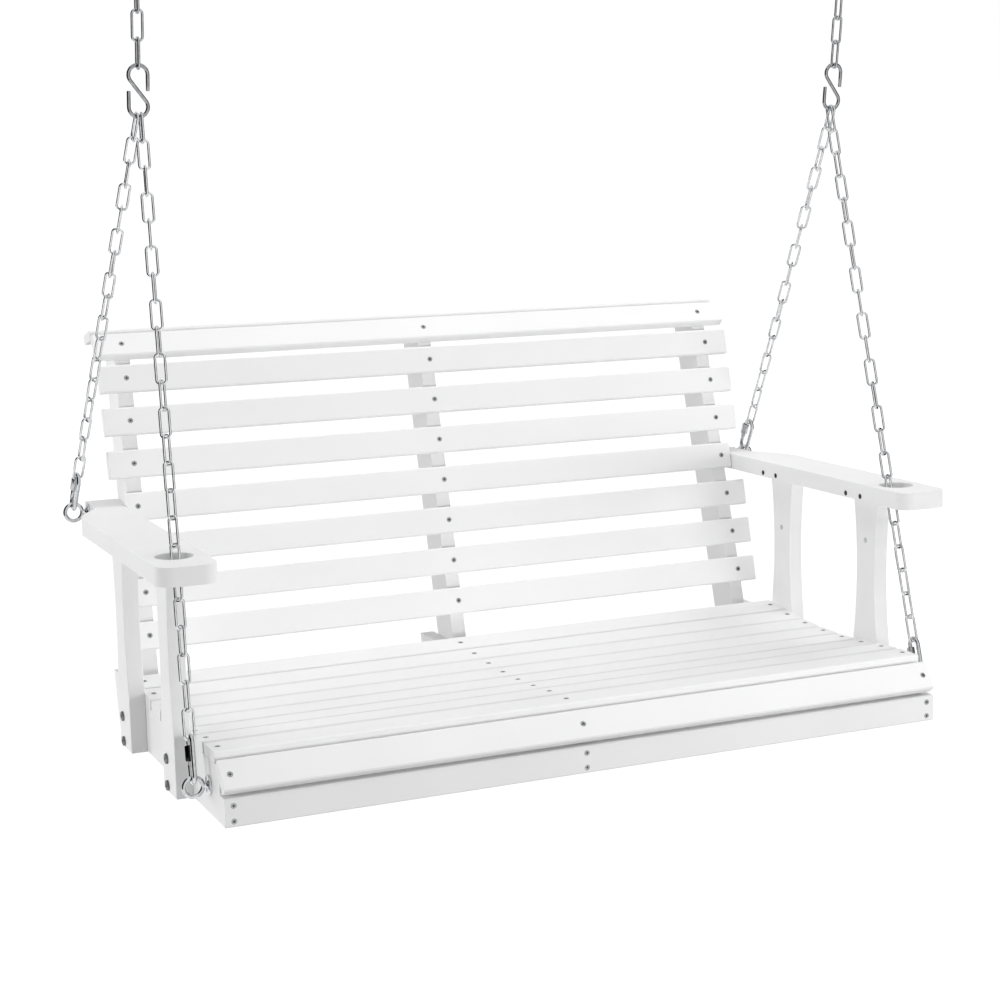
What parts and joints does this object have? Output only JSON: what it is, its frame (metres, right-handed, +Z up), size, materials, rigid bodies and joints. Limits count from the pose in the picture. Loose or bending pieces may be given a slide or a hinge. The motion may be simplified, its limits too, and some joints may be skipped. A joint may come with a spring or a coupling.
{
  "type": "hanging porch swing bench",
  "caption": "White painted slatted wooden swing bench with armrests and a leaning back, hung from ceiling hooks on steel chains with S-hooks and quick links.",
  "frame": {"origin": "midway between the two ceiling hooks, on the plane of the ceiling", "axes": "+X along the seat to the picture's right, which is the sitter's left hand, -Y to the front of the seat, +Z up"},
  "size_m": [1.174, 0.741, 1.1951],
  "materials": {
    "white_wood": "satin white paint on softwood",
    "screw_steel": "zinc-plated screws",
    "black_bolt": "zinc-plated socket bolts and dowels",
    "zinc_fitting": "bright zinc plating",
    "sleeve_steel": "darker zinc-plated sleeve",
    "zinc_chain": "bright zinc plating"
  },
  "bodies": {
    "ceiling_hooks": {"left_ceiling_hook": "zinc_fitting", "right_ceiling_hook": "zinc_fitting"},
    "left_upper_chain": {"left_upper_chain": "zinc_chain"},
    "right_upper_chain": {"right_upper_chain": "zinc_chain"},
    "left_s_hook": {"left_s_hook": "zinc_chain"},
    "right_s_hook": {"right_s_hook": "zinc_chain"},
    "bench": {"left_seat_rail": "white_wood", "middle_seat_rail": "white_wood", "right_seat_rail": "white_wood", "seat_slat_1": "white_wood", "seat_slat_2": "white_wood", "seat_slat_3": "white_wood", "seat_slat_4": "white_wood", "seat_slat_5": "white_wood", "seat_slat_6": "white_wood", "seat_slat_7": "white_wood", "seat_slat_8": "white_wood", "front_nosing_slat": "white_wood", "front_apron": "white_wood", "left_back_stile": "white_wood", "middle_back_stile": "white_wood", "right_back_stile": "white_wood", "back_slat_1": "white_wood", "back_slat_2": "white_wood", "back_slat_3": "white_wood", "back_slat_4": "white_wood", "back_slat_5": "white_wood", "back_slat_6": "white_wood", "back_slat_7": "white_wood", "back_slat_8": "white_wood", "back_cap_slat": "white_wood", "left_arm": "white_wood", "right_arm": "white_wood", "left_front_post": "white_wood", "left_rear_post": "white_wood", "right_front_post": "white_wood", "right_rear_post": "white_wood", "seat_screws": "screw_steel", "back_screws": "screw_steel", "long_screws": "screw_steel", "post_bolts": "black_bolt", "post_cross_dowels": "black_bolt", "eye_bolt_nuts": "zinc_fitting", "left_front_eye_bolt": "zinc_fitting", "left_front_quick_link": "zinc_fitting", "left_rear_eye_bolt": "zinc_fitting", "left_rear_quick_link": "zinc_fitting", "right_front_eye_bolt": "zinc_fitting", "right_front_quick_link": "zinc_fitting", "right_rear_eye_bolt": "zinc_fitting", "right_rear_quick_link": "zinc_fitting", "left_front_chain": "zinc_chain", "left_rear_chain": "zinc_chain", "right_front_chain": "zinc_chain", "right_rear_chain": "zinc_chain"},
    "left_front_sleeve": {"left_front_sleeve": "sleeve_steel"},
    "left_rear_sleeve": {"left_rear_sleeve": "zinc_fitting"},
    "right_front_sleeve": {"right_front_sleeve": "sleeve_steel"},
    "right_rear_sleeve": {"right_rear_sleeve": "zinc_fitting"}
  },
  "joints": [
    {"name": "left_chain_swing", "type": "hinge", "parent": "ceiling_hooks", "child": "left_upper_chain", "pos_m": [-0.527, 0, -0.0384], "axis": [1, 0, 0], "range_deg": [-25, 25]},
    {"name": "left_s_hook_swing", "type": "hinge", "parent": "left_upper_chain", "child": "left_s_hook", "pos_m": [-0.527, 0, -0.1784], "axis": [1, 0, 0], "range_deg": [-20, 20]},
    {"name": "right_chain_swing", "type": "hinge", "parent": "ceiling_hooks", "child": "right_upper_chain", "pos_m": [0.527, 0, -0.0384], "axis": [1, 0, 0], "range_deg": [-25, 25]},
    {"name": "right_s_hook_swing", "type": "hinge", "parent": "right_upper_chain", "child": "right_s_hook", "pos_m": [0.527, 0, -0.1784], "axis": [1, 0, 0], "range_deg": [-20, 20]},
    {"name": "bench_swing", "type": "hinge", "parent": "left_s_hook", "child": "bench", "pos_m": [-0.527, 0, -0.2434], "axis": [1, 0, 0], "range_deg": [-15, 15]},
    {"name": "left_front_sleeve_slide", "type": "slide", "parent": "bench", "child": "left_front_sleeve", "axis": [-0.0313, -0.3659, -0.9301], "range_m": [0, 0.011]},
    {"name": "left_rear_sleeve_slide", "type": "slide", "parent": "bench", "child": "left_rear_sleeve", "axis": [-0.0627, 0.3934, -0.9172], "range_m": [0, 0.011]},
    {"name": "right_front_sleeve_slide", "type": "slide", "parent": "bench", "child": "right_front_sleeve", "axis": [0.0313, -0.3659, -0.9301], "range_m": [0, 0.011]},
    {"name": "right_rear_sleeve_slide", "type": "slide", "parent": "bench", "child": "right_rear_sleeve", "axis": [0.0627, 0.3934, -0.9172], "range_m": [0, 0.011]}
  ],
  "couplings": [
    {"joint": "right_chain_swing", "follows": "left_chain_swing", "ratio": 1},
    {"joint": "right_s_hook_swing", "follows": "left_s_hook_swing", "ratio": 1}
  ]
}
